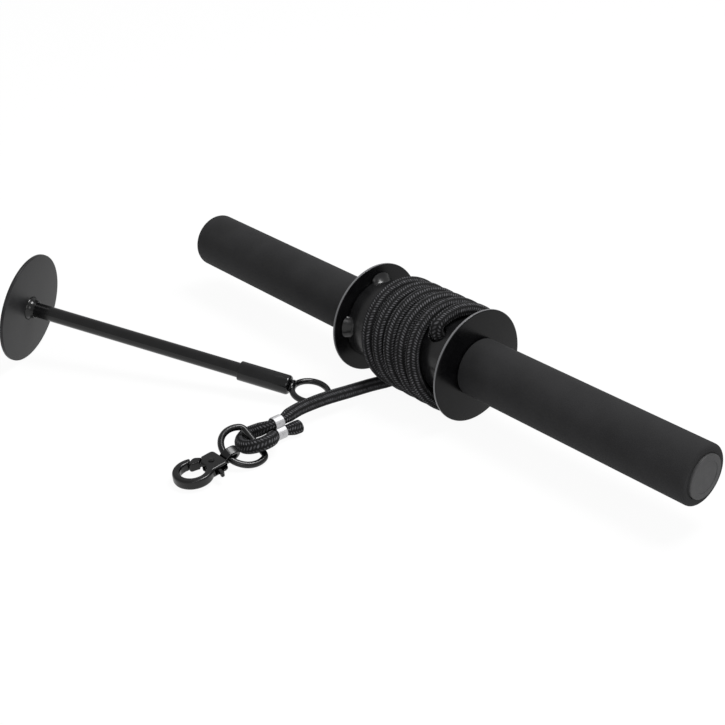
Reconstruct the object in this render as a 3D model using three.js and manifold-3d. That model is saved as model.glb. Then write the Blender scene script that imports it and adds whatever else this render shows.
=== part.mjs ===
// Wrist roller: a bar with two foam grips and a rope drum, the rope with its ring and snap hook,
// and the loading pin lying in front of it. Millimetres, X along the bar, Y away, Z up.
import * as THREE from 'three';
import { mergeVertices } from 'three/addons/utils/BufferGeometryUtils.js';
import Module from 'manifold-3d';

const wasm = await Module();
wasm.setup();
const turn = 2 * Math.PI;
const degree = Math.PI / 180;

// free space between two separate pieces, and the overlap that a cut or a join needs
const clearance = 0.3;
const overlap = 0.4;
const roundSegments = 52;
const smallSegments = 24;

const tube = { radius: 12.7, wall: 1.8, end: 201.6, innerEnd: 37.2 };
const grip = { wall: 4.5, overhang: 0.7, rounding: 2.2, flangeGap: 0.4 };
const plug = { rim: 1.7, stem: 11, edge: 0.5 };
const flange = { radius: 34.26, innerFace: 41.7, thickness: 1.98, edge: 0.75 };
const drum = { radius: 25, wall: 2 };
const ropeHole = { radius: 5, angle: 52 * degree, chamfer: 0.8 };
const weld = { leg: 4.6, throat: 2.1, arc: 30 * degree, sink: 0.5 };
const weldAnglesLeft = [5 * degree, 95 * degree, 185 * degree, 275 * degree];
const weldAnglesRight = [-45 * degree, 27 * degree, 98 * degree];
const weldScaleShares = [0.45, 0.8, 0.95, 1, 1, 0.95, 0.8, 0.45];

const rope = { radius: 4.1, freeRadius: 4, squeezed: 3, squeezeReach: 4, lift: 0.2 };
const squeezeShare = 0.68;
const ropeSides = 6;
const freeSides = 10;
const stepsPerTurn = 24;
// place of the strand along the drum: start, advance per turn, sway and its loss per turn
const winding = { start: 35.25, advance: 9.72, sway: 8.34, swayLoss: 0.506 };
const windingPhase = 230.3 * degree;
const windingEnd = 2070 * degree;
const ropeStart = { inner: 1.5, bend: 4.8 };
const bendSteps = 5;
const knot = { radius: 9.8, length: 19, lobes: 2, waist: 1.6, gap: 1 };

// free rope: x, y and height over the floor
const leadRoute = [
  [-16.5, -8.35, 4.96], [-16.5, -12, 4.97], [-16.8, -17, 5.5], [-17.3, -23, 6.3],
  [-17.5, -31, 7.3], [-17.4, -39.5, 8.4], [-17.6, -48, 9.3],
  [-18.6, -56.5, 9.8], [-19.6, -65, 10], [-20.1, -73.5, 10], [-20.1, -80.5, 10.1],
  [-19, -86, 10.4], [-17.8, -90.6, 10.7], [-17.2, -93, 10.7], [-16.9, -94.8, 10.3],
  [-16.8, -96.4, 9.97], [-16.8, -100, 9.95],
];
const eyeRoute = [
  [-16.8, -100.6, 9.95], [-16.8, -103.2, 9.95], [-16.8, -104.6, 9.95], [-18.2, -106.5, 9.5],
  [-20.6, -108.8, 7.7], [-23.8, -111.4, 5.6], [-25.4, -115, 4.4], [-23.4, -119.8, 4.3],
  [-18.2, -124.2, 5.2], [-11.2, -126.8, 7.2], [-5, -124.4, 9.6], [-3.1, -118.2, 10.9], [-5.2, -113.4, 9.6],
  [-8, -110.6, 8], [-11, -108, 5.9], [-12.8, -106.4, 5], [-14.3, -104.6, 4.35],
  [-14.3, -103.2, 4.35], [-14.3, -100.3, 4.35], [-14.3, -97.4, 4.35], [-14.3, -96.1, 4.35],
  [-13.4, -94.1, 4.3], [-12.5, -92.4, 4.2],
  [-12.4, -90.5, 4.2], [-12.4, -86.5, 4.3],
];
const crimp = { y: -100.3, width: 6.4, gap: 0.3, wall: 0.7, boreWaist: 1.5, waist: 2.5 };
const crimpTailPoint = 7;
const crimpSteps = 16;

// D-shaped ring: a straight bar inside the rope eye, at bar from the middle of the round part
const ring = { radius: 13.3, wire: 1.9, bar: 7.2, corner: 3.5, x: -12.4, y: -127.45, lift: 0.02 };
const ringTilt = 25.2 * degree;

// snap hook, measured along s from the ring wire, y to the thumb side, z up
const hook = { x: -11, y: -140.66, height: 6.92 };
const hookHeading = -91 * degree;
const hookSlope = 6.4 * degree;
const eye = { holeStart: -5.4, holeEnd: 2.45, holeHalf: 2.5, wall: 2.1, thickness: 5.2, bevel: 0.45 };
const eyeRoll = -26.6 * degree;
const stem = { radius: 1.5, head: 2.2, headStart: 6.75, headLength: 0.9 };
const barrel = { start: 3.95, end: 15.6, half: 7.5, corner: 2.4, thickness: 6, bevel: 1, chamber: 2.5 };
const chamber = { start: 6.4, end: 8.4 };
const claw = { centre: 22.4, shift: -0.9, outerLong: 11.4, outerWide: 11.4, band: 4.2, thickness: 5.9, bevel: 1.2 };
const slot = { half: 1.55 };
const rivet = { s: 10.3, radius: 1, head: 1.75, dome: 0.7 };
const gate = { half: 1.25, noseHalf: 2.7, noseStart: 6.8, boss: 2.3, pocket: 3.3, pocketFloor: 0.15 };
const spring = { wire: 0.3, coil: 1.85, height: 0.75, leg: 1.6 };
const springStart = -50 * degree;
const springSweep = 230 * degree;
const gateGap = [[12.2, -14], [12.2, -6.4], [14.6, -3.6], [15.6, -1.4], [20, -2.4], [21.6, -7.4],
  [17.9, -9.55], [17.5, -14]];
const gateOutline = [[9.2, -1.6], [11.9, -6], [13.3, -7.9], [15.1, -9.45], [16.7, -9.5], [18.8, -8.5],
  [20.6, -7.25], [20.1, -5.7], [17.6, -4.9], [15.3, -4], [12.9, -1.2],
  [12.2, 1.2], [12.4, 6.2], [12.2, 9], [12.9, 12.2],
  [12, 12.8], [10.7, 12.2], [10.1, 9.5], [9.4, 6], [9.2, 2]];
const slotOutline = [[7.8, -8.4], [7.8, 2.4], [4.2, 2.9], [4.2, 8.6], [13.4, 8.6], [13.4, 3.4],
  [16.4, 1.6], [16.4, -8.4]];

// loading pin, measured along its axis from the middle of the disc
const pin = { x: -196.8, y: -149.9 };
const pinHeading = 28.98 * degree;
const pinSlope = 8.03 * degree;
const disc = { radius: 34, thickness: 2.2, edge: 0.6 };
const rod = { radius: 4.58, end: 168, sink: 0.9 };
const collar = { radius: 7.2, top: 5.4, length: 4.4 };
const sleeve = { start: 142, end: 174.6, radius: 6, boreEnd: 168.8, chamfer: 1.9 };
const pinEye = { centre: 187.3, radius: 10.85, wire: 1.95 };
const pinEyeRoll = -3 * degree;
const pinWeld = { centre: 175.7, long: 2.6, across: 5.2, high: 3.5 };

const floor = -flange.radius;
const boreRadius = tube.radius + clearance;
const gripRadius = boreRadius + grip.wall;
const ropeCentre = drum.radius + rope.radius + rope.lift;

function vec(x, y, z) {
  return new THREE.Vector3(x, y, z);
}

// one closed body with shared corners and outward faces
function solid(source) {
  const bare = source.clone();
  for (const key of Object.keys(bare.attributes)) {
    if (key !== 'position') bare.deleteAttribute(key);
  }
  const geometry = mergeVertices(bare, 1e-4);
  const position = geometry.getAttribute('position');
  const index = geometry.getIndex().array;
  const kept = [];
  const a = vec(0, 0, 0);
  const b = vec(0, 0, 0);
  const c = vec(0, 0, 0);
  let volume = 0;
  for (let i = 0; i < index.length; i += 3) {
    const [p, q, r] = [index[i], index[i + 1], index[i + 2]];
    if (p !== q && q !== r && r !== p) {
      kept.push(p, q, r);
      a.fromBufferAttribute(position, p);
      b.fromBufferAttribute(position, q);
      c.fromBufferAttribute(position, r);
      volume += a.dot(b.cross(c));
    }
  }
  if (volume < 0) kept.reverse();
  geometry.setIndex(kept);
  return geometry;
}

function toManifold(source) {
  const geometry = solid(source);
  const vertProperties = new Float32Array(geometry.getAttribute('position').array);
  const triVerts = new Uint32Array(geometry.getIndex().array);
  return new wasm.Manifold(new wasm.Mesh({ numProp: 3, vertProperties, triVerts }));
}

function fromManifold(manifold) {
  const mesh = manifold.getMesh();
  const geometry = new THREE.BufferGeometry();
  geometry.setAttribute('position', new THREE.BufferAttribute(new Float32Array(mesh.vertProperties), 3));
  geometry.setIndex(Array.from(mesh.triVerts));
  return geometry;
}

function node(name, geometry, colour, roughness, metalness) {
  const flat = solid(geometry).toNonIndexed();
  flat.computeVertexNormals();
  const mesh = new THREE.Mesh(flat, new THREE.MeshStandardMaterial({ color: colour, roughness, metalness }));
  mesh.name = name;
  return mesh;
}

// turns a profile of [radius, x] about the X axis; a ring profile ends where it starts
function turned(profile, segments) {
  const points = profile.map(([radius, x]) => new THREE.Vector2(radius, x));
  return new THREE.LatheGeometry(points, segments).rotateZ(-turn / 4);
}

function closedProfile(profile) {
  return [...profile, profile[0]];
}

// quarter of a circle about [radius, x], from angle first to angle last
function corner(radius, x, rounding, first, last) {
  const points = [];
  const steps = 3;
  for (let i = 0; i <= steps; i += 1) {
    const angle = first + (last - first) * i / steps;
    points.push([radius + rounding * Math.cos(angle), x + rounding * Math.sin(angle)]);
  }
  return points;
}

// skin over rings of equally many points, with both ends closed as fans from their first point
function skin(rings) {
  const count = rings[0].length;
  const points = rings.flat();
  const index = [];
  for (let i = 0; i + 1 < rings.length; i += 1) {
    for (let k = 0; k < count; k += 1) {
      const next = (k + 1) % count;
      const low = i * count;
      const high = low + count;
      index.push(low + k, low + next, high + next, low + k, high + next, high + k);
    }
  }
  const last = (rings.length - 1) * count;
  for (let k = 1; k + 1 < count; k += 1) {
    index.push(0, k + 1, k);
    index.push(last, last + k, last + k + 1);
  }
  const geometry = new THREE.BufferGeometry().setFromPoints(points);
  geometry.setIndex(index);
  return geometry;
}

// rings of a strand: its corners lie to the side that the vector beside names
function strandRings(path, radiusAt, sides, beside) {
  return path.map((point, i) => {
    const before = path[Math.max(i - 1, 0)];
    const after = path[Math.min(i + 1, path.length - 1)];
    const along = after.clone().sub(before).normalize();
    const across = beside.clone().addScaledVector(along, -beside.dot(along)).normalize();
    const up = along.clone().cross(across);
    const radius = radiusAt(point);
    const ringPoints = [];
    for (let k = 0; k < sides; k += 1) {
      const angle = turn * k / sides;
      const corners = point.clone().addScaledVector(across, radius * Math.cos(angle));
      ringPoints.push(corners.addScaledVector(up, radius * Math.sin(angle)));
    }
    return ringPoints;
  });
}

// flat piece of an outline in the XY plane, its thickness centred on the plane
function plate(shape, thickness, bevel, curveSegments) {
  const geometry = new THREE.ExtrudeGeometry(shape, {
    depth: thickness - 2 * bevel,
    bevelEnabled: bevel > 0,
    bevelThickness: bevel,
    bevelSize: bevel,
    bevelOffset: -bevel,
    bevelSegments: 2,
    curveSegments,
  });
  return geometry.translate(0, 0, bevel - thickness / 2);
}

function polygon(points) {
  return new THREE.Shape(points.map(([x, y]) => new THREE.Vector2(x, y)));
}

function smoothPolygon(points, step) {
  const curve = new THREE.CatmullRomCurve3(points.map(([x, y]) => vec(x, y, 0)), true, 'centripetal');
  const count = Math.round(curve.getLength() / step);
  return polygon(curve.getPoints(count).slice(0, count).map((point) => [point.x, point.y]));
}

function rodAlongX(radius, start, end, segments) {
  const geometry = new THREE.CylinderGeometry(radius, radius, end - start, segments);
  return geometry.rotateZ(-turn / 4).translate((start + end) / 2, 0, 0);
}

function onDrum(angle, radius, x) {
  return vec(x, -radius * Math.cos(angle), radius * Math.sin(angle));
}

function makeHandle(side, name) {
  const innerRadius = tube.radius - tube.wall;
  const wallRing = closedProfile([
    [innerRadius, tube.innerEnd], [tube.radius, tube.innerEnd],
    [tube.radius, tube.end], [innerRadius, tube.end],
  ]);
  const gripStart = flange.innerFace + flange.thickness + grip.flangeGap;
  const lipRadius = gripRadius - grip.rounding;
  const gripEnd = tube.end + grip.overhang;
  const gripRing = closedProfile([
    [boreRadius, gripStart],
    ...corner(lipRadius, gripStart + grip.rounding, grip.rounding, -turn / 4, 0),
    ...corner(lipRadius, gripEnd - grip.rounding, grip.rounding, 0, turn / 4),
    [boreRadius, gripEnd],
  ]);
  const rimStart = tube.end + clearance;
  const stemRadius = innerRadius - clearance;
  const rimEnd = rimStart + plug.rim;
  const plugProfile = [
    [0, rimStart - plug.stem], [stemRadius, rimStart - plug.stem], [stemRadius, rimStart],
    [tube.radius, rimStart],
    ...corner(tube.radius - plug.edge, rimEnd - plug.edge, plug.edge, 0, turn / 4),
    [0, rimEnd],
  ];
  const pieces = [
    node(`handle_tube_${name}`, turned(wallRing, roundSegments), 0x1b1b1d, 0.35, 0.8),
    node(`grip_${name}`, turned(gripRing, roundSegments), 0x1f1f1f, 0.95, 0),
    node(`end_plug_${name}`, turned(plugProfile, roundSegments), 0x2c2c2d, 0.6, 0),
  ];
  if (side < 0) {
    for (const piece of pieces) piece.geometry.rotateZ(turn / 2);
  }
  return pieces;
}

function makeFlange(side, name) {
  const outerFace = flange.innerFace + flange.thickness;
  const rim = flange.radius - flange.edge;
  const profile = closedProfile([
    [boreRadius, flange.innerFace],
    ...corner(rim, flange.innerFace + flange.edge, flange.edge, -turn / 4, 0),
    ...corner(rim, outerFace - flange.edge, flange.edge, 0, turn / 4),
    [boreRadius, outerFace],
  ]);
  const piece = node(`flange_${name}`, turned(profile, roundSegments), 0x1a1a1b, 0.3, 0.7);
  if (side < 0) piece.geometry.rotateZ(turn / 2);
  return piece;
}

// weld bead in the corner of drum and flange, thicker in its middle
function tackWeld(side, angle) {
  const half = drumHalf();
  const base = drum.radius - weld.sink;
  const rings = weldScaleShares.map((share, i) => {
    const turnTo = angle + weld.arc * (i / (weldScaleShares.length - 1) - 0.5);
    const leg = weld.leg * share + weld.sink;
    const throat = weld.throat * share + weld.sink;
    const section = [[0, 0], [leg, 0], [leg, weld.sink], [throat, throat], [weld.sink, leg], [0, leg]];
    return section.map(([along, out]) => onDrum(turnTo, base + out, side * (half - along)));
  });
  return toManifold(skin(rings));
}

function drumHalf() {
  return flange.innerFace - clearance;
}

function makeDrum() {
  const half = drumHalf();
  const inner = drum.radius - drum.wall;
  const wallRing = closedProfile([
    [inner, -half], [drum.radius, -half], [drum.radius, half], [inner, half],
  ]);
  let body = toManifold(turned(wallRing, roundSegments));
  for (const angle of weldAnglesLeft) body = body.add(tackWeld(-1, angle));
  for (const angle of weldAnglesRight) body = body.add(tackWeld(1, angle));
  const depth = drum.wall * 3;
  const bore = new THREE.CylinderGeometry(ropeHole.radius, ropeHole.radius, depth, smallSegments);
  const lipWidth = ropeHole.radius + 2 * ropeHole.chamfer;
  const lip = new THREE.CylinderGeometry(lipWidth, ropeHole.radius, 2 * ropeHole.chamfer, smallSegments);
  bore.translate(0, drum.radius - drum.wall / 2, 0);
  lip.translate(0, drum.radius, 0);
  for (const cut of [bore, lip]) {
    cut.rotateX(Math.PI - ropeHole.angle).translate(windingX(woundFrom()), 0, 0);
    body = body.subtract(toManifold(cut));
  }
  return node('drum_tube', fromManifold(body), 0x151516, 0.25, 0.8);
}

function windingX(angle) {
  const turns = angle / turn;
  const sway = winding.sway - winding.swayLoss * turns;
  return winding.start - winding.advance * turns + sway * Math.cos(angle - windingPhase);
}

// angle at which the strand from the hole has laid itself down on the drum
function woundFrom() {
  return ropeHole.angle + Math.atan2(ropeStart.bend, ropeCentre);
}

function windingPath() {
  const path = [];
  const bendRadius = ropeCentre - ropeStart.bend;
  const firstAngle = woundFrom();
  const radial = onDrum(ropeHole.angle, 1, 0);
  const forward = onDrum(ropeHole.angle + turn / 4, 1, 0);
  const holeX = windingX(firstAngle);
  for (const share of [0, 0.3, 0.6, 0.85]) {
    const radius = ropeStart.inner + (bendRadius - ropeStart.inner) * share;
    path.push(radial.clone().multiplyScalar(radius).setX(holeX));
  }
  for (let i = 0; i < bendSteps; i += 1) {
    const angle = turn / 4 * i / bendSteps;
    const point = radial.clone().multiplyScalar(bendRadius + ropeStart.bend * Math.sin(angle));
    point.addScaledVector(forward, ropeStart.bend * (1 - Math.cos(angle)));
    path.push(point.setX(holeX));
  }
  const steps = Math.round((windingEnd - firstAngle) / turn * stepsPerTurn);
  for (let i = 0; i <= steps; i += 1) {
    const angle = firstAngle + (windingEnd - firstAngle) * i / steps;
    path.push(onDrum(angle, ropeCentre, windingX(angle)));
  }
  const last = path[path.length - 1];
  const [leadX, leadY] = leadRoute[0];
  path.push(vec((last.x + leadX) / 2, (leadY + clearance) / 2, last.z));
  path.push(vec(leadX, leadY + clearance, floor + leadRoute[0][2]));
  return path;
}

// least distance between corners of the strand that lie further apart along it than a half turn
function leastGap(rings) {
  const apart = stepsPerTurn / 2;
  let least = Infinity;
  for (let i = 0; i < rings.length; i += 1) {
    for (let j = i + apart; j < rings.length; j += 1) {
      for (const p of rings[i]) {
        for (const q of rings[j]) least = Math.min(least, p.distanceTo(q));
      }
    }
  }
  return least;
}

function freePath(route, step) {
  const points = route.map(([x, y, height]) => vec(x, y, floor + height));
  const curve = new THREE.CatmullRomCurve3(points, false, 'centripetal');
  return curve.getSpacedPoints(Math.round(curve.getLength() / step));
}

// the crimp squeezes both strands, and they swell again beside it
function freeRadiusAt(point) {
  const beyond = Math.abs(point.y - crimp.y) - crimp.width * squeezeShare;
  const share = Math.min(Math.max(beyond / rope.squeezeReach, 0), 1);
  return rope.squeezed + (rope.freeRadius - rope.squeezed) * share;
}

function makeRope() {
  const along = vec(1, 0, 0);
  const upward = vec(0, 0, 1);
  const rings = strandRings(windingPath(), () => rope.radius, ropeSides, along);
  console.log(`least gap of the wound rope to itself: ${leastGap(rings).toFixed(2)} mm`);
  const lead = strandRings(freePath(leadRoute, rope.freeRadius / 2), freeRadiusAt, freeSides, along);
  const loop = strandRings(freePath(eyeRoute, rope.freeRadius / 2), freeRadiusAt, freeSides, upward);
  return [
    node('rope_winding', skin(rings), 0x161618, 0.9, 0),
    node('rope_lead', skin(lead), 0x161618, 0.9, 0),
    node('rope_eye', skin(loop), 0x161618, 0.9, 0),
  ];
}

// stopper knot: a lump of coils about the strand, inside the drum under the hole
function makeKnot() {
  const top = drum.radius - drum.wall - knot.gap;
  const bore = rope.radius + clearance;
  const half = knot.length / 2;
  const profile = [[bore, top - knot.length + knot.waist]];
  const steps = 16;
  for (let i = 1; i < steps; i += 1) {
    const share = i / steps;
    const height = half * Math.cos(Math.PI * (1 - share));
    const round = Math.sqrt(knot.radius ** 2 - height ** 2);
    const dent = knot.waist * Math.sin(Math.PI * share * knot.lobes + Math.PI / 2) ** 8 * Math.sin(Math.PI * share);
    profile.push([Math.max(round - dent, bore + knot.waist), top - half + height]);
  }
  profile.push([bore, top - knot.waist]);
  const lump = turned(closedProfile(profile), smallSegments).rotateZ(turn / 4);
  lump.rotateX(Math.PI - ropeHole.angle);
  return node('rope_knot', lump.translate(windingX(woundFrom()), 0, 0), 0x161618, 0.9, 0);
}

// outline of two circles side by side with a waist between them
function figureEight(radius, half, waist) {
  const start = Math.asin(waist / radius);
  const points = [];
  for (const side of [1, -1]) {
    for (let i = 0; i <= crimpSteps; i += 1) {
      const angle = start - Math.PI + (turn - 2 * start) * i / crimpSteps;
      points.push([side * (half + radius * Math.cos(angle)), side * radius * Math.sin(angle)]);
    }
  }
  return points;
}

function makeCrimp() {
  const main = eyeRoute[0];
  const tail = eyeRoute[eyeRoute.length - crimpTailPoint];
  const bore = rope.squeezed + crimp.gap;
  const across = tail[0] - main[0];
  const drop = main[2] - tail[2];
  const half = Math.hypot(across, drop) / 2;
  const shape = polygon(figureEight(bore + crimp.wall, half, crimp.waist));
  shape.holes.push(new THREE.Path(polygon(figureEight(bore, half, crimp.boreWaist)).getPoints()));
  const band = plate(shape, crimp.width, crimp.wall * 0.3, smallSegments);
  band.rotateX(turn / 4).rotateY(Math.atan2(drop, across));
  const height = floor + (main[2] + tail[2]) / 2;
  band.translate((main[0] + tail[0]) / 2, crimp.y, height);
  return node('crimp_band', band, 0xd8d8d8, 0.25, 0.9);
}

function makeRing() {
  const cornerY = ring.bar - ring.corner;
  const cornerX = Math.sqrt((ring.radius - ring.corner) ** 2 - cornerY ** 2);
  const lean = Math.atan2(cornerY, cornerX);
  const points = [];
  const arc = (x, y, radius, first, last, steps) => {
    for (let i = 0; i < steps; i += 1) {
      const angle = first + (last - first) * i / steps;
      points.push(vec(x + radius * Math.cos(angle), y + radius * Math.sin(angle), 0));
    }
  };
  arc(cornerX, cornerY, ring.corner, turn / 4, lean, 4);
  arc(0, 0, ring.radius, lean, -turn / 2 - lean, 30);
  arc(-cornerX, cornerY, ring.corner, turn / 2 - lean, turn / 4, 4);
  for (let i = 0; i < 6; i += 1) points.push(vec(cornerX * (i / 3 - 1), ring.bar, 0));
  const curve = new THREE.CatmullRomCurve3(points, true, 'centripetal');
  const geometry = new THREE.TubeGeometry(curve, 52, ring.wire, 10, true).rotateY(ringTilt);
  const height = ring.wire + ring.radius * Math.sin(ringTilt) + ring.lift;
  return node('d_ring', geometry.translate(ring.x, ring.y, floor + height), 0x141415, 0.3, 0.7);
}

function placeHook(mesh) {
  mesh.rotation.set(0, hookSlope, hookHeading, 'ZYX');
  mesh.position.set(hook.x, hook.y, floor + hook.height);
  return mesh;
}

function makeSwivelEye() {
  const outerHalf = eye.holeHalf + eye.wall;
  const outerStart = eye.holeStart - eye.wall;
  const outerEnd = barrel.start - clearance;
  const rounded = (start, end, half) => {
    const shape = new THREE.Shape();
    shape.moveTo(start + half, -half);
    shape.lineTo(end - half, -half);
    shape.absarc(end - half, 0, half, -turn / 4, turn / 4, false);
    shape.lineTo(start + half, half);
    shape.absarc(start + half, 0, half, turn / 4, 3 * turn / 4, false);
    return shape;
  };
  const outline = rounded(outerStart, outerEnd, outerHalf);
  outline.holes.push(rounded(eye.holeStart, eye.holeEnd, eye.holeHalf));
  const loop = plate(outline, eye.thickness, eye.bevel, 6).rotateX(turn / 4);
  let body = toManifold(loop.rotateX(eyeRoll));
  const headEnd = stem.headStart + stem.headLength;
  const stemRod = rodAlongX(stem.radius, outerEnd - 2 * overlap, headEnd - overlap, smallSegments);
  body = body.add(toManifold(stemRod));
  body = body.add(toManifold(rodAlongX(stem.head, stem.headStart, headEnd, smallSegments)));
  return placeHook(node('swivel_eye', fromManifold(body), 0x141415, 0.25, 0.7));
}

function makeHookBody() {
  const block = new THREE.Shape();
  const { start, end, half, corner: round } = barrel;
  block.moveTo(start + round, -half);
  block.lineTo(end, -half);
  block.lineTo(end, half);
  block.lineTo(start + round, half);
  block.absarc(start + round, half - round, round, turn / 4, turn / 2, false);
  block.absarc(start + round, round - half, round, turn / 2, 3 * turn / 4, false);
  const loop = new THREE.Shape();
  loop.absellipse(claw.centre, claw.shift, claw.outerLong, claw.outerWide, 0, turn, false, 0);
  const mouth = new THREE.Path();
  const mouthLong = claw.outerLong - claw.band;
  const mouthWide = claw.outerWide - claw.band;
  mouth.absellipse(claw.centre, claw.shift, mouthLong, mouthWide, 0, turn, false, 0);
  loop.holes.push(mouth);
  const mouthShape = new THREE.Shape(mouth.getPoints(smallSegments));
  const tall = 2 * barrel.thickness;
  let body = toManifold(plate(block, barrel.thickness, barrel.bevel, 6));
  body = body.subtract(toManifold(plate(mouthShape, tall, 0, smallSegments)));
  body = body.add(toManifold(plate(loop, claw.thickness, claw.bevel, smallSegments)));
  body = body.subtract(toManifold(plate(polygon(gateGap), tall, 0, 1)));
  body = body.subtract(toManifold(plate(polygon(slotOutline), 2 * slot.half, 0, 1)));
  const throat = rodAlongX(stem.radius + clearance, start - overlap, chamber.end, smallSegments);
  body = body.subtract(toManifold(throat));
  body = body.subtract(toManifold(rodAlongX(barrel.chamber, chamber.start, chamber.end, smallSegments)));
  const rivetHole = new THREE.CylinderGeometry(rivet.radius + clearance, rivet.radius + clearance, tall, 16);
  rivetHole.rotateX(turn / 4).translate(rivet.s, 0, 0);
  body = body.subtract(toManifold(rivetHole));
  return placeHook(node('hook_body', fromManifold(body), 0x121213, 0.25, 0.7));
}

function makeGate() {
  let body = toManifold(plate(smoothPolygon(gateOutline, 0.9), 2 * gate.half, 0.3, 1));
  const boss = new THREE.CylinderGeometry(gate.boss, gate.boss, 2 * gate.half, smallSegments);
  body = body.add(toManifold(boss.rotateX(turn / 4).translate(rivet.s, 0, 0)));
  const nose = toManifold(plate(smoothPolygon(gateOutline, 0.9), 2 * gate.noseHalf, 0.5, 1));
  const near = new THREE.CylinderGeometry(gate.noseStart, gate.noseStart, 4 * gate.noseHalf, smallSegments);
  const tabSide = new THREE.BoxGeometry(barrel.end * 2, barrel.half * 4, 4 * gate.noseHalf);
  tabSide.translate(rivet.s, barrel.half * 2 - rivet.head, 0);
  const noseOnly = nose.subtract(toManifold(near.rotateX(turn / 4).translate(rivet.s, 0, 0)));
  body = body.add(noseOnly.subtract(toManifold(tabSide)));
  const cuts = [
    new THREE.CylinderGeometry(rivet.radius + clearance, rivet.radius + clearance, 4 * gate.half, 16)
      .rotateX(turn / 4).translate(rivet.s, 0, 0),
    new THREE.CylinderGeometry(gate.pocket, gate.pocket, 2 * gate.half, smallSegments)
      .rotateX(turn / 4).translate(rivet.s, 0, gate.half + gate.pocketFloor),
  ];
  for (const cut of cuts) body = body.subtract(toManifold(cut));
  return placeHook(node('hook_gate', fromManifold(body), 0x161617, 0.3, 0.7));
}

function makeRivet() {
  const top = barrel.thickness / 2 + clearance;
  const profile = [[0, -top - rivet.dome], [rivet.head * 0.7, -top - rivet.dome * 0.7], [rivet.head, -top],
    [rivet.radius, -top], [rivet.radius, top], [rivet.head, top],
    [rivet.head * 0.7, top + rivet.dome * 0.7], [0, top + rivet.dome]];
  const geometry = turned(profile, smallSegments).rotateY(-turn / 4).translate(rivet.s, 0, 0);
  return placeHook(node('gate_pin', geometry, 0x2a2a2b, 0.3, 0.8));
}

// hairpin spring about the rivet, one leg to the gate and one to the body
function makeSpring() {
  const path = [];
  const at = (angle, radius) => vec(
    rivet.s + radius * Math.cos(angle), radius * Math.sin(angle), spring.height);
  const steps = 20;
  for (let i = 0; i <= steps; i += 1) path.push(at(springStart + springSweep * i / steps, spring.coil));
  const startLeg = path[0].clone().sub(path[1]).setLength(spring.leg);
  const endLeg = path[steps].clone().sub(path[steps - 1]).setLength(spring.leg);
  path.unshift(path[0].clone().add(startLeg));
  path.push(path[path.length - 1].clone().add(endLeg));
  const rings = strandRings(path, () => spring.wire, 8, vec(0, 0, 1));
  return placeHook(node('gate_spring', skin(rings), 0x9a9a9a, 0.3, 1));
}

function placePin(mesh) {
  const height = disc.radius * Math.cos(pinSlope) + disc.thickness / 2 * Math.sin(pinSlope);
  mesh.rotation.set(0, pinSlope, pinHeading, 'ZYX');
  mesh.position.set(pin.x, pin.y, floor + height);
  return mesh;
}

function makeLoadingPin() {
  const face = disc.thickness / 2;
  const seat = rod.radius + clearance;
  const rim = disc.radius - disc.edge;
  const discBore = collar.radius + clearance;
  const discRing = closedProfile([
    [discBore, -face],
    ...corner(rim, disc.edge - face, disc.edge, -turn / 4, 0),
    ...corner(rim, face - disc.edge, disc.edge, 0, turn / 4),
    [discBore, face],
  ]);
  const collarRing = closedProfile([
    [seat, -rod.sink], [collar.radius, -rod.sink], [collar.radius, face],
    [(collar.radius + collar.top) / 2 - overlap, face + collar.length / 3],
    [collar.top, face + collar.length], [seat, face + collar.length],
  ]);
  const sleeveRing = [
    [seat, sleeve.start], [sleeve.radius - overlap, sleeve.start], [sleeve.radius, sleeve.start + overlap],
    [sleeve.radius, sleeve.end - sleeve.chamfer], [sleeve.radius - sleeve.chamfer, sleeve.end],
    [0, sleeve.end], [0, sleeve.boreEnd], [seat, sleeve.boreEnd], [seat, sleeve.start],
  ];
  const across = new THREE.TorusGeometry(pinEye.radius, pinEye.wire, 10, 40).rotateX(turn / 4);
  let eyeBody = toManifold(across.rotateX(turn / 4 - pinEyeRoll).translate(pinEye.centre, 0, 0));
  const bead = new THREE.SphereGeometry(1, smallSegments, 8).scale(pinWeld.long, pinWeld.across, pinWeld.high);
  bead.rotateX(-pinEyeRoll).translate(pinWeld.centre, 0, 0);
  eyeBody = eyeBody.add(toManifold(bead));
  const behind = rodAlongX(disc.radius, sleeve.start, sleeve.end + clearance, smallSegments);
  eyeBody = eyeBody.subtract(toManifold(behind));
  const bar = rodAlongX(rod.radius, -rod.sink, rod.end, smallSegments + 8);
  return [
    node('loading_disc', turned(discRing, roundSegments + 8), 0x333334, 0.4, 0.6),
    node('disc_weld', turned(collarRing, smallSegments + 8), 0x1c1c1d, 0.4, 0.7),
    node('loading_rod', bar, 0x19191a, 0.2, 0.8),
    node('rod_sleeve', turned(sleeveRing, smallSegments + 8), 0x19191a, 0.25, 0.8),
    node('rod_eye', fromManifold(eyeBody), 0x19191a, 0.25, 0.8),
  ].map(placePin);
}

const cordNames = ['rope_knot', 'rope_winding', 'rope_lead', 'rope_eye', 'crimp_band', 'd_ring',
  'swivel_eye', 'hook_body', 'hook_gate', 'gate_pin', 'gate_spring'];
const part = new THREE.Group();
part.name = 'wrist_roller';
part.add(
  ...makeHandle(1, 'right'), ...makeHandle(-1, 'left'),
  makeFlange(1, 'right'), makeFlange(-1, 'left'), makeDrum(),
  makeKnot(), ...makeRope(), makeCrimp(), makeRing(),
  makeSwivelEye(), makeHookBody(), makeGate(), makeRivet(), makeSpring(),
  ...makeLoadingPin(),
);

// the middle of the floor under the bar and the loading pin is the origin
part.updateMatrixWorld(true);
const bounds = new THREE.Box3();
for (const mesh of part.children) {
  if (!cordNames.includes(mesh.name)) bounds.expandByObject(mesh, true);
}
const middle = bounds.getCenter(vec(0, 0, 0));
for (const mesh of part.children) mesh.position.sub(vec(middle.x, middle.y, bounds.min.z));
part.updateMatrixWorld(true);

export default part;
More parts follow.
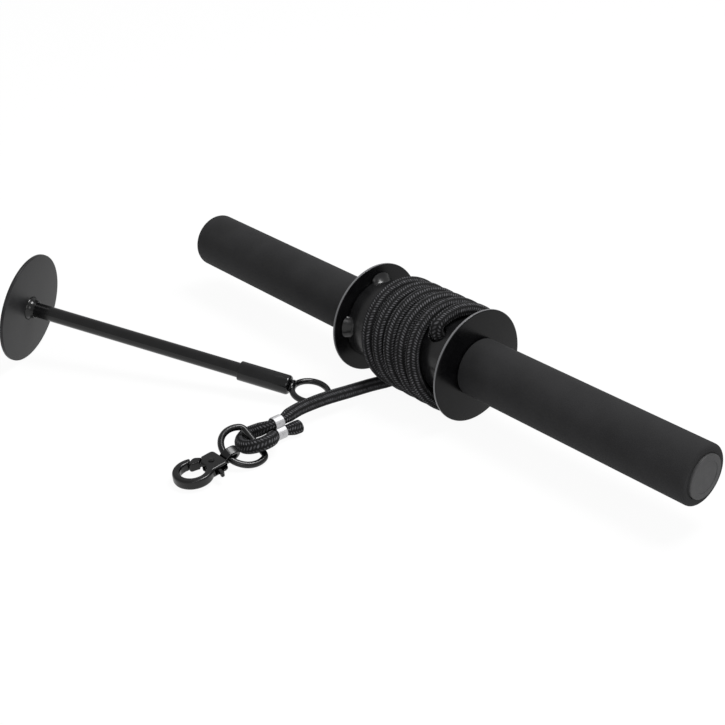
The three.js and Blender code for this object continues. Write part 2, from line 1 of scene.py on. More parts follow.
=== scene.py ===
# Wrist roller with its rope, snap hook and loading pin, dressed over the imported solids.

import math

import bmesh
import bpy
from mathutils import Matrix, Vector


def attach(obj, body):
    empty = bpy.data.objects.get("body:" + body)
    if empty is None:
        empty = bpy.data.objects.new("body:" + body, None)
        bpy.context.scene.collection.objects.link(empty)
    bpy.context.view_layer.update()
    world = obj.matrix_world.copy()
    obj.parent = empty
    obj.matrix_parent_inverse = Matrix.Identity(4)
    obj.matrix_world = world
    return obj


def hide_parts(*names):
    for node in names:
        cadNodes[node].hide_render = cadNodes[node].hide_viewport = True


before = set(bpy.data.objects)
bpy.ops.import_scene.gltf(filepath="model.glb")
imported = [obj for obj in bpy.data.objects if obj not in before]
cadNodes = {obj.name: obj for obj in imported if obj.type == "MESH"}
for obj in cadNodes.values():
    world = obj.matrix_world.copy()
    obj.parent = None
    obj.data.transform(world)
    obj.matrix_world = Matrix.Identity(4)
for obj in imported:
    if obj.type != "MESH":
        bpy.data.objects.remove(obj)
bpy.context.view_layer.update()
turn = 2 * math.pi
mm = 0.001

# the bar's axis in the row frame, and the height of the floor under it
barOrigin = Vector((5.45, 72.89, 34.26))


def fromBar(x, y, z):
    return (Vector((x, y, z)) + barOrigin) * mm


def fromFloor(x, y, height):
    return Vector((x + barOrigin.x, y + barOrigin.y, height)) * mm


# camera; its place is mm from the bar's axis, and its tilt and heading are degrees

view = {"lens": 74.79, "sensor": 36, "place": (563.24, -561.23, 410.6), "tilt": 61.8155,
        "heading": 47.7512}
cameraData = bpy.data.cameras.new("camera")
cameraData.lens = view["lens"]
cameraData.sensor_width = view["sensor"]
cameraData.clip_start = 0.05
camera = bpy.data.objects.new("camera", cameraData)
camera.location = fromBar(*view["place"])
camera.rotation_euler = (math.radians(view["tilt"]), 0, math.radians(view["heading"]))
bpy.context.scene.collection.objects.link(camera)
bpy.context.scene.camera = camera


# nodes and materials


def linear(code):  # six-digit sRGB hex to linear RGBA
    parts = [int(code[i:i + 2], 16) / 255 for i in (0, 2, 4)]
    return [c / 12.92 if c <= 0.04045 else ((c + 0.055) / 1.055) ** 2.4 for c in parts] + [1]


def addNode(tree, kind, inputs=None, **settings):  # a node with its settings and links
    node = tree.nodes.new(kind)
    for key, value in settings.items():
        setattr(node, key, value)
    for key, value in (inputs or {}).items():
        if isinstance(value, bpy.types.NodeSocket):
            tree.links.new(value, node.inputs[key])
        else:
            node.inputs[key].default_value = value
    return node


def perMm(size):  # texture scale for a pattern of this size in mm
    return 1 / (size * mm)


def newMaterial(name, **sockets):
    material = bpy.data.materials.new(name)
    material.use_nodes = True
    shader = material.node_tree.nodes["Principled BSDF"]
    for key, value in sockets.items():
        shader.inputs[key.replace("_", " ")].default_value = value
    return material, material.node_tree, shader


def finish(tree, shader, colour, rough, height, look):  # colour, roughness and relief of a surface
    tree.links.new(colour, shader.inputs["Base Color"])
    if rough:
        tree.links.new(rough, shader.inputs["Roughness"])
    bump = addNode(tree, "ShaderNodeBump", {
        "Height": height, "Strength": look["relief"], "Distance": look["depth"] * mm})
    tree.links.new(bump.outputs[0], shader.inputs["Normal"])


# sizes of patterns and depths of relief are in mm in every look below

# closed-cell nitrile foam tube: matt charcoal, fine grain, faint lighter patches where rubbed
# its real cells are too fine to show, so cells and grain are drawn as coarse as it takes
foamLook = {"low": "1b1b1c", "high": "2a2a2b", "patch": 22, "cell": 0.7, "grain": 0.45,
            "grainShare": 0.55, "roughMin": 0.74, "roughMax": 0.95, "relief": 0.35, "depth": 0.12}


def foamMaterial(look):
    material, tree, shader = newMaterial("nitrile_foam", Specular_IOR_Level=0.22)
    place = addNode(tree, "ShaderNodeTexCoord").outputs["Object"]
    cells = addNode(tree, "ShaderNodeTexVoronoi", {"Vector": place, "Scale": perMm(look["cell"])})
    patches = addNode(tree, "ShaderNodeTexNoise", {
        "Vector": place, "Scale": perMm(look["patch"]), "Detail": 4, "Roughness": 0.55})
    grain = addNode(tree, "ShaderNodeTexNoise", {"Vector": place, "Scale": perMm(look["grain"])})
    mixed = addNode(tree, "ShaderNodeMath", {
        0: grain.outputs["Fac"], 1: look["grainShare"], 2: patches.outputs["Fac"]},
        operation="MULTIPLY_ADD")
    shade = addNode(tree, "ShaderNodeMapRange", {
        "Value": mixed.outputs[0], "From Min": 0.45, "From Max": 1.1})
    colour = addNode(tree, "ShaderNodeMix", {
        0: shade.outputs[0], 6: linear(look["low"]), 7: linear(look["high"])}, data_type="RGBA")
    rough = addNode(tree, "ShaderNodeMapRange", {
        "Value": patches.outputs["Fac"], "To Min": look["roughMin"], "To Max": look["roughMax"]})
    height = addNode(tree, "ShaderNodeMath", {
        0: cells.outputs["Distance"], 1: grain.outputs["Fac"]}, operation="ADD")
    finish(tree, shader, colour.outputs[2], rough.outputs[0], height.outputs[0], look)
    return material


# black finishes on steel: a thin film with dust and rubbed places, whose fine peel is drawn as
# coarse as it needs to show
filmLook = {"dust": 9, "peel": 0.9, "smoother": 0.06, "rougher": 0.1, "relief": 0.3, "depth": 0.02}
paintLooks = {
    # stove enamel on cut plate: deep black with a soft sheen
    "flange_enamel": {"low": "060607", "high": "0e0e0f", "roughness": 0.22, "gloss": 0.15},
    # stove enamel on welded tube: a little dusty, with clear lights on the tacks
    "drum_enamel": {"low": "0d0d0e", "high": "1a1a1b", "roughness": 0.22, "gloss": 0.4},
    # baked powder coat: dark charcoal with a satin face
    "disc_powder_coat": {"low": "1a1a1b", "high": "29292a", "roughness": 0.4, "gloss": 0.22},
    # stove enamel on drawn rod: black, with a long narrow light along it
    "rod_enamel": {"low": "060607", "high": "101011", "roughness": 0.15, "gloss": 0.4},
    # oiled black oxide on cast zinc and wire: black with small sharp lights
    "hook_black_oxide": {"low": "050506", "high": "0e0e0f", "roughness": 0.24, "gloss": 0.38},
}


def paintedSteel(name):
    look = paintLooks[name]
    material, tree, shader = newMaterial(name, Specular_IOR_Level=look["gloss"])
    place = addNode(tree, "ShaderNodeTexCoord").outputs["Object"]
    dust = addNode(tree, "ShaderNodeTexNoise", {
        "Vector": place, "Scale": perMm(filmLook["dust"]), "Detail": 5, "Roughness": 0.62})
    peel = addNode(tree, "ShaderNodeTexNoise", {"Vector": place, "Scale": perMm(filmLook["peel"])})
    shade = addNode(tree, "ShaderNodeMapRange", {
        "Value": dust.outputs["Fac"], "From Min": 0.3, "From Max": 0.75})
    colour = addNode(tree, "ShaderNodeMix", {
        0: shade.outputs[0], 6: linear(look["low"]), 7: linear(look["high"])}, data_type="RGBA")
    rough = addNode(tree, "ShaderNodeMapRange", {
        "Value": dust.outputs["Fac"], "To Min": look["roughness"] - filmLook["smoother"],
        "To Max": look["roughness"] + filmLook["rougher"]})
    finish(tree, shader, colour.outputs[2], rough.outputs[0], peel.outputs["Fac"], filmLook)
    return material


def addRimWearAndHighlight(material, plate):  # grey steel where the paint is worn thin on a plate's rim, lightened also as a painted highlight along the rim
    tree = material.node_tree
    shader = tree.nodes["Principled BSDF"]
    painted = shader.inputs["Base Color"].links[0].from_socket
    place = addNode(tree, "ShaderNodeTexCoord").outputs["Object"]
    fromAxis = addNode(tree, "ShaderNodeVectorMath", {
        0: place, 1: barOrigin * mm}, operation="SUBTRACT")
    flat = addNode(tree, "ShaderNodeVectorMath", {
        0: fromAxis.outputs[0], 1: (0, 1, 1)}, operation="MULTIPLY")
    away = addNode(tree, "ShaderNodeVectorMath", {0: flat.outputs[0]}, operation="LENGTH")
    inside, outside = plate["rimWearAndHighlightDepths"]
    rimWearAndHighlight = addNode(tree, "ShaderNodeMapRange", {
        "Value": away.outputs["Value"], "From Min": (plate["radius"] - inside) * mm,
        "From Max": (plate["radius"] - outside) * mm})
    colour = addNode(tree, "ShaderNodeMix", {
        0: rimWearAndHighlight.outputs[0], 6: painted, 7: linear(plate["rimWearAndHighlight"])}, data_type="RGBA")
    tree.links.new(colour.outputs[2], shader.inputs["Base Color"])


# moulded polyethylene cap: dull dark grey with a sparked grain, drawn as coarse as it needs to show
capLook = {"low": "333334", "high": "414142", "patch": 5, "grain": 0.5, "relief": 0.35, "depth": 0.06}


def capPlastic(look):
    material, tree, shader = newMaterial("moulded_polyethylene", Roughness=0.58, Specular_IOR_Level=0.3)
    place = addNode(tree, "ShaderNodeTexCoord").outputs["Object"]
    grain = addNode(tree, "ShaderNodeTexNoise", {"Vector": place, "Scale": perMm(look["grain"])})
    patches = addNode(tree, "ShaderNodeTexNoise", {
        "Vector": place, "Scale": perMm(look["patch"]), "Detail": 3})
    colour = addNode(tree, "ShaderNodeMix", {
        0: patches.outputs["Fac"], 6: linear(look["low"]), 7: linear(look["high"])}, data_type="RGBA")
    finish(tree, shader, colour.outputs[2], None, grain.outputs["Fac"], look)
    return material


# pressed aluminium and spring wire: pale satin metal with small scuffs
metalLook = {"low": "b0b0b2", "high": "d9d9da", "scuff": 1.8,
             "roughMin": 0.5, "roughMax": 0.72, "relief": 0.4, "depth": 0.08}


def paleMetal(look):
    material, tree, shader = newMaterial("pressed_aluminium", Metallic=1.0)
    place = addNode(tree, "ShaderNodeTexCoord").outputs["Object"]
    scuff = addNode(tree, "ShaderNodeTexNoise", {
        "Vector": place, "Scale": perMm(look["scuff"]), "Detail": 4, "Roughness": 0.6})
    colour = addNode(tree, "ShaderNodeMix", {
        0: scuff.outputs["Fac"], 6: linear(look["low"]), 7: linear(look["high"])}, data_type="RGBA")
    rough = addNode(tree, "ShaderNodeMapRange", {
        "Value": scuff.outputs["Fac"], "To Min": look["roughMin"], "To Max": look["roughMax"]})
    finish(tree, shader, colour.outputs[2], rough.outputs[0], scuff.outputs["Fac"], look)
    return material


# solid-braid polyester rope: lengthwise rows of short slanted stitches, whose crowns catch the light;
# that light is painted into the colour as a highlight on each crown
# its UV map holds turns around and mm along; the fibres in a stitch are too fine to show, so their
# flecks are drawn as coarse as a stitch
braidLook = {"rows": 8, "stitch": 1.5, "slant": 0.42, "narrow": 2.2, "short": 2.3, "contrast": 1.6,
             "fibre": 1.6, "dark": "0e0e0f", "light": "5e5e61", "relief": 0.7, "depth": 0.3}


def braidMaterial(look):
    material, tree, shader = newMaterial("braided_polyester", Roughness=0.85, Specular_IOR_Level=0.2)
    uv = addNode(tree, "ShaderNodeTexCoord").outputs["UV"]
    split = addNode(tree, "ShaderNodeSeparateXYZ", {0: uv})
    made = {"around": split.outputs[0], "along": split.outputs[1]}
    steps = (  # name of the result, operation, then numbers or the names of earlier results
        ("rows", "MULTIPLY", "around", look["rows"]),
        ("rowShare", "FRACT", "rows"),
        ("rowPlace", "SUBTRACT", "rowShare", 0.5),
        ("rowNumber", "FLOOR", "rows"),
        ("odd", "MODULO", "rowNumber", 2.0),
        ("stitches", "DIVIDE", "along", look["stitch"]),
        ("shifted", "MULTIPLY_ADD", "odd", 0.5, "stitches"),
        ("slope", "MULTIPLY_ADD", "odd", 4 * look["slant"], -2 * look["slant"]),
        ("lean", "MULTIPLY", "rowPlace", "slope"),
        ("leaning", "ADD", "shifted", "lean"),
        ("stitchShare", "FRACT", "leaning"),
        ("stitchPlace", "SUBTRACT", "stitchShare", 0.5),
        ("widthPlace", "MULTIPLY", "rowPlace", look["narrow"]),
        ("widthSize", "ABSOLUTE", "widthPlace"),
        ("width", "POWER", "widthSize", 2.0),
        ("lengthPlace", "MULTIPLY", "stitchPlace", look["short"]),
        ("lengthSize", "ABSOLUTE", "lengthPlace"),
        ("length", "POWER", "lengthSize", 2.0),
        ("fromMiddle", "ADD", "width", "length"),
    )
    for result, operation, *values in steps:
        inputs = {i: made[v] if isinstance(v, str) else v for i, v in enumerate(values)}
        made[result] = addNode(tree, "ShaderNodeMath", inputs, operation=operation).outputs[0]
    crown = addNode(tree, "ShaderNodeMapRange", {
        "Value": made["fromMiddle"], "From Min": 0.9, "From Max": 0.1}).outputs[0]
    place = addNode(tree, "ShaderNodeTexCoord").outputs["Object"]
    fibre = addNode(tree, "ShaderNodeTexNoise", {
        "Vector": place, "Scale": perMm(look["fibre"]), "Detail": 3})
    fleck = addNode(tree, "ShaderNodeMapRange", {
        "Value": fibre.outputs["Fac"], "From Min": 0.25, "From Max": 0.65}).outputs[0]
    # painted highlight: the crowns of the stitches are made lighter in colour, flecked by the fibres
    crownHighlight = addNode(tree, "ShaderNodeMath", {
        0: crown, 1: look["contrast"]}, operation="POWER").outputs[0]
    light = addNode(tree, "ShaderNodeMath", {0: crownHighlight, 1: fleck}, operation="MULTIPLY").outputs[0]
    colour = addNode(tree, "ShaderNodeMix", {
        0: light, 6: linear(look["dark"]), 7: linear(look["light"])}, data_type="RGBA")
    finish(tree, shader, colour.outputs[2], None, crown, look)
    return material


foam = foamMaterial(foamLook)
plugPlastic = capPlastic(capLook)
flangePaint = paintedSteel("flange_enamel")
drumPaint = paintedSteel("drum_enamel")
discPaint = paintedSteel("disc_powder_coat")
rodPaint = paintedSteel("rod_enamel")
hookPaint = paintedSteel("hook_black_oxide")
bright = paleMetal(metalLook)
braid = braidMaterial(braidLook)
print("materials made")


# meshes

sharpAngle = math.radians(38)  # smooth shading up to here


def addObject(name, mesh, material, body, replaced):  # a finished piece and what it replaces
    piece = bpy.data.objects.new(name, mesh)
    bpy.context.scene.collection.objects.link(piece)
    mesh.materials.append(material)
    mesh.shade_smooth()
    mesh.set_sharp_from_angle(angle=sharpAngle)
    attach(piece, body)
    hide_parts(*replaced)
    return piece


def meshFrom(name, build):  # build fills a bmesh; doubles are merged and faces turned outwards
    mesh = bpy.data.meshes.new(name)
    shape = bmesh.new()
    build(shape)
    bmesh.ops.remove_doubles(shape, verts=shape.verts, dist=1e-7)
    bmesh.ops.recalc_face_normals(shape, faces=shape.faces)
    shape.to_mesh(mesh)
    shape.free()
    return mesh


def turnedMesh(name, profile, sides, place):  # turns a profile of (radius, x) about X
    def build(shape):
        points = [shape.verts.new(Vector((x, radius, 0)) * mm) for radius, x in profile]
        edges = [shape.edges.new((a, b)) for a, b in zip(points, points[1:])]
        if profile[0][0] > 0:
            edges.append(shape.edges.new((points[-1], points[0])))
        bmesh.ops.spin(shape, geom=points + edges, cent=(0, 0, 0), axis=(1, 0, 0), angle=turn,
                       steps=sides, use_merge=True)
        bmesh.ops.transform(shape, matrix=place, verts=shape.verts)
    return meshFrom(name, build)


def rounded(radius, x, rounding, first, last, steps=6):  # corner of a profile, in quarter turns
    out = []
    for i in range(steps + 1):
        angle = (first + (last - first) * i / steps) * turn / 4
        out.append((radius + rounding * math.cos(angle), x + rounding * math.sin(angle)))
    return out


def spaced(points, step):  # the same line in even steps
    lengths = [0.0]
    for a, b in zip(points, points[1:]):
        lengths.append(lengths[-1] + (b - a).length)
    count = max(2, round(lengths[-1] / step))
    out = []
    k = 0
    for i in range(count + 1):
        goal = lengths[-1] * i / count
        while k < len(points) - 2 and lengths[k + 1] < goal:
            k += 1
        share = (goal - lengths[k]) / max(lengths[k + 1] - lengths[k], 1e-12)
        out.append(points[k].lerp(points[k + 1], min(share, 1.0)))
    return out


# a smooth curve through the route, worked out as a centripetal spline and given in even steps
def curvePoints(route, step, fineness=24):
    ends = [2 * route[0] - route[1]] + route + [2 * route[-1] - route[-2]]
    fine = []
    for p0, p1, p2, p3 in zip(ends, ends[1:], ends[2:], ends[3:]):
        t1 = (p1 - p0).length ** 0.5
        t2 = t1 + (p2 - p1).length ** 0.5
        t3 = t2 + (p3 - p2).length ** 0.5
        for i in range(fineness):
            t = t1 + (t2 - t1) * i / fineness
            a1 = p0 * (t1 - t) / t1 + p1 * t / t1
            a2 = p1 * (t2 - t) / (t2 - t1) + p2 * (t - t1) / (t2 - t1)
            a3 = p2 * (t3 - t) / (t3 - t2) + p3 * (t - t2) / (t3 - t2)
            b1 = a1 * (t2 - t) / t2 + a2 * t / t2
            b2 = a2 * (t3 - t) / (t3 - t1) + a3 * (t - t1) / (t3 - t1)
            fine.append(b1 * (t2 - t) / (t2 - t1) + b2 * (t - t1) / (t2 - t1))
    fine.append(route[-1])
    return spaced(fine, step)


# tube along a path, with a UV map in turns around and mm along; start points to the seam
def sweptMesh(name, path, radii, sides, start, closed=False):
    shape = bmesh.new()
    uvLayer = shape.loops.layers.uv.new("UVMap")
    rings = []
    across = start.copy()
    distance = [0.0]
    last = len(path) - 1
    for i, point in enumerate(path):
        before = path[i - 1] if i or closed else point
        after = path[(i + 1) % len(path)] if i < last or closed else point
        along = (after - before).normalized()
        across = (across - across.dot(along) * along).normalized()
        up = along.cross(across)
        ring = []
        for k in range(sides):
            angle = turn * k / sides
            offset = across * math.cos(angle) + up * math.sin(angle)
            ring.append(shape.verts.new(point + offset * radii[i]))
        rings.append(ring)
        distance.append(distance[-1] + (path[(i + 1) % len(path)] - point).length)
    nextRings = rings[1:] + rings[:1] if closed else rings[1:]
    for i, (low, high) in enumerate(zip(rings, nextRings)):
        for k in range(sides):
            n = (k + 1) % sides
            face = shape.faces.new((low[k], low[n], high[n], high[k]))
            for loop, (u, v) in zip(face.loops, ((k, i), (k + 1, i), (k + 1, i + 1), (k, i + 1))):
                loop[uvLayer].uv = (u / sides, distance[v] / mm)
    if not closed:
        shape.faces.new(list(reversed(rings[0])))
        shape.faces.new(rings[-1])
    bmesh.ops.recalc_face_normals(shape, faces=shape.faces)
    mesh = bpy.data.meshes.new(name)
    shape.to_mesh(mesh)
    shape.free()
    return mesh


# the rope, measured in mm from the bar's axis

# the turns sway from side to side as they advance; phase, end and hole are degrees round the drum
winding = {"start": 35.25, "advance": 9.72, "sway": 8.34, "swayLoss": 0.506, "phase": 230.3,
           "end": 2070}
rope = {"radius": 4.1, "freeRadius": 4.0, "loosens": (2, 14), "squeezed": 3.0, "squeezeReach": 5.0,
        "crimpY": -100.3, "crimpHalf": 4.35, "centre": 29.3, "hole": 52, "bend": 4.8, "inner": 1.5,
        "step": 1.3, "freeStep": 2, "evened": 3, "sides": 20}
freeRoute = [
    (-16.5, -4, 4.96), (-16.5, -8.35, 4.96), (-16.5, -12, 4.97), (-16.8, -17, 5.5), (-17.3, -23, 6.3),
    (-17.5, -31, 7.3), (-17.4, -39.5, 8.4), (-17.6, -48, 9.3), (-18.6, -56.5, 9.8), (-19.6, -65, 10),
    (-20.1, -73.5, 10), (-20.1, -80.5, 10.1), (-19, -86, 10.4), (-17.8, -90.6, 10.7), (-17.2, -93, 10.7),
    (-16.9, -94.8, 10.3), (-16.8, -96.4, 9.97), (-16.8, -100.3, 9.95), (-16.8, -103.3, 9.95),
    (-16.9, -105.3, 9.87), (-18.1, -107.4, 9.05), (-20.8, -109.7, 7.4), (-23.8, -112, 5.6),
    (-25.7, -115.6, 4.4), (-23.7, -120.1, 4.2), (-18.4, -124.7, 5.1), (-11.1, -127.4, 7.2),
    (-4.8, -124.9, 9.7), (-2.6, -118.9, 10.9), (-4.9, -113.7, 9.7), (-7.9, -110.9, 7.9),
    (-10.8, -108.7, 6.1), (-13, -107.2, 4.9), (-14.2, -105.3, 4.4), (-14.3, -103.3, 4.35),
    (-14.3, -100.3, 4.35), (-14.3, -97.8, 4.35), (-14.1, -95.8, 4.33), (-13.4, -93.8, 4.27),
    (-12.7, -91.6, 4.22), (-12.4, -89.1, 4.24), (-12.4, -86.5, 4.3),
]


def onDrum(angle, radius, x):  # degrees up from the front
    a = math.radians(angle)
    return fromBar(x, -radius * math.cos(a), radius * math.sin(a))


def windingX(angle):  # where the rope lies along the drum at this angle
    turns = angle / 360
    sway = winding["sway"] - winding["swayLoss"] * turns
    return winding["start"] - winding["advance"] * turns + sway * math.cos(
        math.radians(angle - winding["phase"]))


def ropePath():  # from the knot out of the hole, round the drum, and along the floor to the tail
    reach = math.degrees(math.atan2(rope["bend"], rope["centre"]))
    first = rope["hole"] + reach
    holeX = windingX(first)
    inner = rope["centre"] - rope["bend"]
    pieces = 8  # in the straight stretch and in the bend
    path = []
    for i in range(pieces):
        radius = rope["inner"] + (inner - rope["inner"]) * i / pieces
        path.append(onDrum(rope["hole"], radius, holeX))
    for i in range(pieces):
        angle = turn / 4 * i / pieces
        radius = inner + rope["bend"] * math.sin(angle)
        aside = rope["bend"] * (1 - math.cos(angle))
        base = onDrum(rope["hole"], radius, holeX)
        forward = onDrum(rope["hole"] + 90, aside, 0) - onDrum(0, 0, 0)
        path.append(base + forward)
    perTurn = 48
    steps = round((winding["end"] - first) / 360 * perTurn)
    for i in range(steps + 1):
        angle = first + (winding["end"] - first) * i / steps
        path.append(onDrum(angle, rope["centre"], windingX(angle)))
    free = curvePoints([fromFloor(*point) for point in freeRoute], rope["freeStep"] * mm)
    for _ in range(rope["evened"]):  # evens out the bends between the route's points
        middle = [(a + 2 * b + c) / 4 for a, b, c in zip(free, free[1:], free[2:])]
        free = [free[0]] + middle + [free[-1]]
    return path + free


def ropeRadius(point):  # thinner where it lies free, and squeezed by the crimp
    out = barOrigin.y - point.y / mm
    near, far = rope["loosens"]
    loose = min(max((out - near) / (far - near), 0), 1)
    radius = rope["radius"] + (rope["freeRadius"] - rope["radius"]) * loose
    beyond = abs(out + rope["crimpY"]) - rope["crimpHalf"]
    share = min(max(beyond / rope["squeezeReach"], 0), 1)
    return (rope["squeezed"] + (radius - rope["squeezed"]) * share) * mm


ropePoints = ropePath()
ropeLine = spaced(ropePoints, rope["step"] * mm)
ropeRadii = [ropeRadius(point) for point in ropeLine]
tailEnd = ropeLine.pop()  # the melted end is rounded off over its last millimetre
lastRadius = ropeRadii.pop()
for back, share in ((0.55, 0.97), (0.2, 0.88), (0.0, 0.7)):  # mm from the end, part of the radius
    ropeLine.append(tailEnd + (ropeLine[-1] - tailEnd).normalized() * back * mm)
    ropeRadii.append(lastRadius * share)
ropeMesh = sweptMesh("rope", ropeLine, ropeRadii, rope["sides"], Vector((1, 0, 0)))
ropeNodes = ("rope_winding", "rope_lead", "rope_eye")
ropePiece = addObject("rope", ropeMesh, braid, "bar", ropeNodes)


# bar: foam grips, end plugs and flanges
# start and end are mm from the bar's middle, and edges are the roundings of the two rims; a
# flange's worn grey, which is also a painted highlight of its rim, shows within these depths of its rim

grip = {"bore": 13, "start": 44.08, "end": 202.3, "radius": 17.5, "edges": (1.3, 2.2), "sides": 128}
plug = {"stem": 10.6, "start": 190.9, "rimStart": 201.9, "rim": 12.7, "end": 203.6, "edge": 0.5,
        "dish": 9.6, "dishDepth": 0.2, "sides": 96}
flange = {"bore": 13, "start": 41.7, "end": 43.68, "radius": 34.26, "edges": (0.75, 0.75),
          "rimWearAndHighlight": "69696b", "rimWearAndHighlightDepths": (0.2, 0.02), "sides": 160}


def rims(size):  # the two rounded rims of a round piece
    first, last = size["edges"]
    corners = rounded(size["radius"] - first, size["start"] + first, first, -1, 0)
    return corners + rounded(size["radius"] - last, size["end"] - last, last, 0, 1)


def ringProfile(size):  # bored right through
    return [(size["bore"], size["start"])] + rims(size) + [(size["bore"], size["end"])]


def plugProfile(size):  # a stem in the tube, and a rim with a shallow dish on its face
    stem = [(0, size["start"]), (size["stem"], size["start"]), (size["stem"], size["rimStart"])]
    rim = [(size["rim"], size["rimStart"])]
    rim += rounded(size["rim"] - size["edge"], size["end"] - size["edge"], size["edge"], 0, 1)
    floorX = size["end"] - size["dishDepth"]
    dish = [(size["dish"], size["end"]), (size["dish"] - size["dishDepth"], floorX), (0, floorX)]
    return stem + rim + dish


def makeSide(side, name):
    place = Matrix.Translation(barOrigin * mm)
    place = place @ Matrix.Rotation(0 if side > 0 else math.pi, 4, "Z")
    mesh = turnedMesh(f"foam_grip_{name}", ringProfile(grip), grip["sides"], place)
    gripPiece = addObject(f"foam_grip_{name}", mesh, foam, "bar", (f"grip_{name}",))
    mesh = turnedMesh(f"tube_plug_{name}", plugProfile(plug), plug["sides"], place)
    addObject(f"tube_plug_{name}", mesh, plugPlastic, "bar", (f"end_plug_{name}",))
    mesh = turnedMesh(f"side_plate_{name}", ringProfile(flange), flange["sides"], place)
    addObject(f"side_plate_{name}", mesh, flangePaint, "bar", (f"flange_{name}",))


def paintNode(name, material):  # a solid shown as it is packed
    materials = cadNodes[name].data.materials
    materials.clear()
    materials.append(material)


addRimWearAndHighlight(flangePaint, flange)
for side, name in ((1, "right"), (-1, "left")):
    makeSide(side, name)
    paintNode(f"handle_tube_{name}", rodPaint)
print("bar made")


# loading pin

# it leans on its disc; heading and slope are degrees, and lengths run along the rod from the disc
pin = {"x": -196.8, "y": -149.9, "heading": 28.98, "slope": 8.03}
disc = {"bore": 7.5, "start": -1.1, "end": 1.1, "radius": 34.0, "edges": (0.6, 0.6), "sides": 160}
collar = [(4.88, -0.9), (7.2, -0.9), (7.2, 1.1), (6.9, 1.7), (6.2, 2.4), (5.7, 3.7), (5.4, 5.5),
          (4.88, 5.5)]
rod = {"radius": 4.58, "start": -0.9, "end": 168}
sleeve = {"bore": 4.88, "start": 142, "end": 174.6, "radius": 6, "edges": (0.4, 1.9), "wall": 168.8}
rodSides = 64


def pinPlace():
    slope = math.radians(pin["slope"])
    height = disc["radius"] * math.cos(slope) + disc["end"] * math.sin(slope)
    turned = Matrix.Rotation(math.radians(pin["heading"]), 4, "Z") @ Matrix.Rotation(slope, 4, "Y")
    return Matrix.Translation(fromFloor(pin["x"], pin["y"], height)) @ turned


def rodProfile(size):
    radius, start, end = size["radius"], size["start"], size["end"]
    return [(0, start), (radius, start), (radius, end), (0, end)]


def sleeveProfile(size):  # bored up to its end wall
    inside = [(0, size["end"]), (0, size["wall"]), (size["bore"], size["wall"])]
    return [(size["bore"], size["start"])] + rims(size) + inside


for name, profile, sides, material, slot, node in (
        ("pin_disc", ringProfile(disc), disc["sides"], discPaint, "disc_steel", "loading_disc"),
        ("rod_collar", collar, rodSides, rodPaint, "black_steel", "disc_weld"),
        ("pin_rod", rodProfile(rod), rodSides, rodPaint, "black_steel", "loading_rod"),
        ("pin_sleeve", sleeveProfile(sleeve), rodSides, rodPaint, "black_steel", "rod_sleeve")):
    mesh = turnedMesh(name, profile, sides, pinPlace())
    addObject(name, mesh, material, "loading_pin", (node,))
print("loading pin made")


# cast, forged, pressed and welded pieces

# the solid with its edges rounded as on a casting: remeshed by voxels in mm, then smoothed
def softened(name, node, material, body, voxel, rounds):
    mesh = cadNodes[node].data.copy()
    mesh.name = name
    mesh.materials.clear()
    piece = bpy.data.objects.new(name, mesh)
    bpy.context.scene.collection.objects.link(piece)
    remesh = piece.modifiers.new("remesh", "REMESH")
    remesh.mode = "VOXEL"
    remesh.voxel_size = voxel * mm
    smooth = piece.modifiers.new("smooth", "SMOOTH")
    smooth.iterations = rounds
    smooth.factor = 0.5
    depsgraph = bpy.context.evaluated_depsgraph_get()
    done = bpy.data.meshes.new_from_object(piece.evaluated_get(depsgraph))
    bpy.data.objects.remove(piece)
    done.name = name
    return addObject(name, done, material, body, (node,))


softened("pin_eye_ring", "rod_eye", rodPaint, "loading_pin", voxel=0.35, rounds=6)
softened("snap_hook", "hook_body", hookPaint, "hook", voxel=0.22, rounds=8)
softened("snap_gate", "hook_gate", hookPaint, "gate", voxel=0.2, rounds=5)
softened("swivel_loop", "swivel_eye", hookPaint, "swivel", voxel=0.2, rounds=5)
crimpPiece = softened("crimp_sleeve", "crimp_band", bright, "bar", voxel=0.2, rounds=3)
knotPiece = softened("stopper_knot", "rope_knot", braid, "bar", voxel=0.4, rounds=6)
softened("rope_drum", "drum_tube", drumPaint, "bar", voxel=0.6, rounds=2)


# d-ring: it lies on the floor at its low side, and its straight bar is in the rope's eye
# steps are those of a corner, of the bow and of the bar

dRing = {"radius": 13.3, "wire": 1.9, "bar": 7.2, "corner": 3.5, "x": -12.4, "y": -127.45,
         "tilt": 25.2, "lift": 0.02, "steps": (8, 72, 12), "sides": 20}


def ringPath(size):  # round bow, two corners and the straight bar, in the ring's own plane
    cornerY = size["bar"] - size["corner"]
    cornerX = math.sqrt((size["radius"] - size["corner"]) ** 2 - cornerY ** 2)
    lean = math.atan2(cornerY, cornerX)
    points = []

    def arc(x, y, radius, first, last, steps):
        for i in range(steps):
            a = first + (last - first) * i / steps
            points.append(Vector((x + radius * math.cos(a), y + radius * math.sin(a), 0)) * mm)

    cornerSteps, bowSteps, barSteps = size["steps"]
    arc(cornerX, cornerY, size["corner"], turn / 4, lean, cornerSteps)
    arc(0, 0, size["radius"], lean, -turn / 2 - lean, bowSteps)
    arc(-cornerX, cornerY, size["corner"], turn / 2 - lean, turn / 4, cornerSteps)
    for i in range(barSteps):
        points.append(Vector((cornerX * (2 * i / barSteps - 1), size["bar"], 0)) * mm)
    return points


def ringPlace(size):
    tilt = math.radians(size["tilt"])
    height = size["wire"] + size["radius"] * math.sin(tilt) + size["lift"]
    place = Matrix.Translation(fromFloor(size["x"], size["y"], height))
    return place @ Matrix.Rotation(tilt, 4, "Y")


path = [ringPlace(dRing) @ point for point in ringPath(dRing)]
upright = ringPlace(dRing).to_3x3() @ Vector((0, 0, 1))
wire = [dRing["wire"] * mm] * len(path)
mesh = sweptMesh("link_ring", path, wire, dRing["sides"], upright, closed=True)
addObject("link_ring", mesh, hookPaint, "ring", ("d_ring",))
paintNode("gate_pin", hookPaint)
paintNode("gate_spring", bright)
print("hook and ring made")


# floor and light

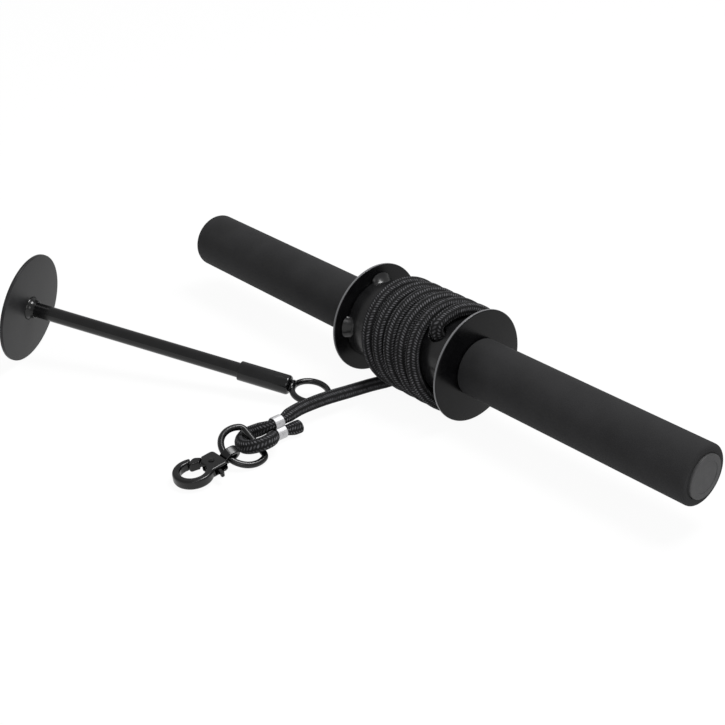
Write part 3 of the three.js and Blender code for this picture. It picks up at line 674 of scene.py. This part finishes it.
# white paper that the camera sees nearly at full white, with a faint shadow; sizes in metres
paperLook = {"half": 12, "below": 0.0006, "shade": 0.9, "glow": 0.94}
studio = {"toCamera": 1.0, "toPieces": 0.53}

floorMesh = bpy.data.meshes.new("floor")
shape = bmesh.new()
bmesh.ops.create_grid(shape, x_segments=1, y_segments=1, size=paperLook["half"])
shape.to_mesh(floorMesh)
shape.free()
floor = bpy.data.objects.new("floor", floorMesh)
floor.location = (0, 0, -paperLook["below"])
bpy.context.scene.collection.objects.link(floor)

paperMaterial = bpy.data.materials.new("white_paper")
paperMaterial.use_nodes = True
floorMesh.materials.append(paperMaterial)
paperTree = paperMaterial.node_tree
paperTree.nodes.clear()
paper = addNode(paperTree, "ShaderNodeBsdfDiffuse", {
    "Color": (paperLook["shade"], paperLook["shade"], paperLook["shade"], 1)})
glow = addNode(paperTree, "ShaderNodeEmission", {"Color": (1, 1, 1, 1), "Strength": 1.0})
paperRays = addNode(paperTree, "ShaderNodeLightPath")
seen = addNode(paperTree, "ShaderNodeMath", {
    0: paperRays.outputs["Is Camera Ray"], 1: paperRays.outputs["Is Glossy Ray"]}, operation="MAXIMUM")
share = addNode(paperTree, "ShaderNodeMath", {
    0: seen.outputs[0], 1: paperLook["glow"]}, operation="MULTIPLY")
blended = addNode(paperTree, "ShaderNodeMixShader", {
    0: share.outputs[0], 1: paper.outputs[0], 2: glow.outputs[0]})
addNode(paperTree, "ShaderNodeOutputMaterial", {"Surface": blended.outputs[0]})

world = bpy.data.worlds.new("studio")
bpy.context.scene.world = world
world.use_nodes = True
worldTree = world.node_tree
worldRays = addNode(worldTree, "ShaderNodeLightPath")
level = addNode(worldTree, "ShaderNodeMapRange", {
    "Value": worldRays.outputs["Is Camera Ray"],
    "To Min": studio["toPieces"], "To Max": studio["toCamera"]})
background = worldTree.nodes["Background"]
background.inputs[0].default_value = (1, 1, 1, 1)
worldTree.links.new(level.outputs[0], background.inputs[1])


def addLight(name, place, size, power):  # metres and watts, aimed at the origin
    data = bpy.data.lights.new(name, "AREA")
    data.size = size
    data.energy = power
    light = bpy.data.objects.new(name, data)
    light.location = place
    light.rotation_euler = (-Vector(place)).to_track_quat("-Z", "Y").to_euler()
    bpy.context.scene.collection.objects.link(light)


addLight("key", (0.3, 0.5, 1.6), 0.7, 26)
addLight("fill", (1.4, -0.9, 0.9), 0.8, 5)
bpy.context.scene.view_settings.view_transform = "Standard"
print("floor and light made")
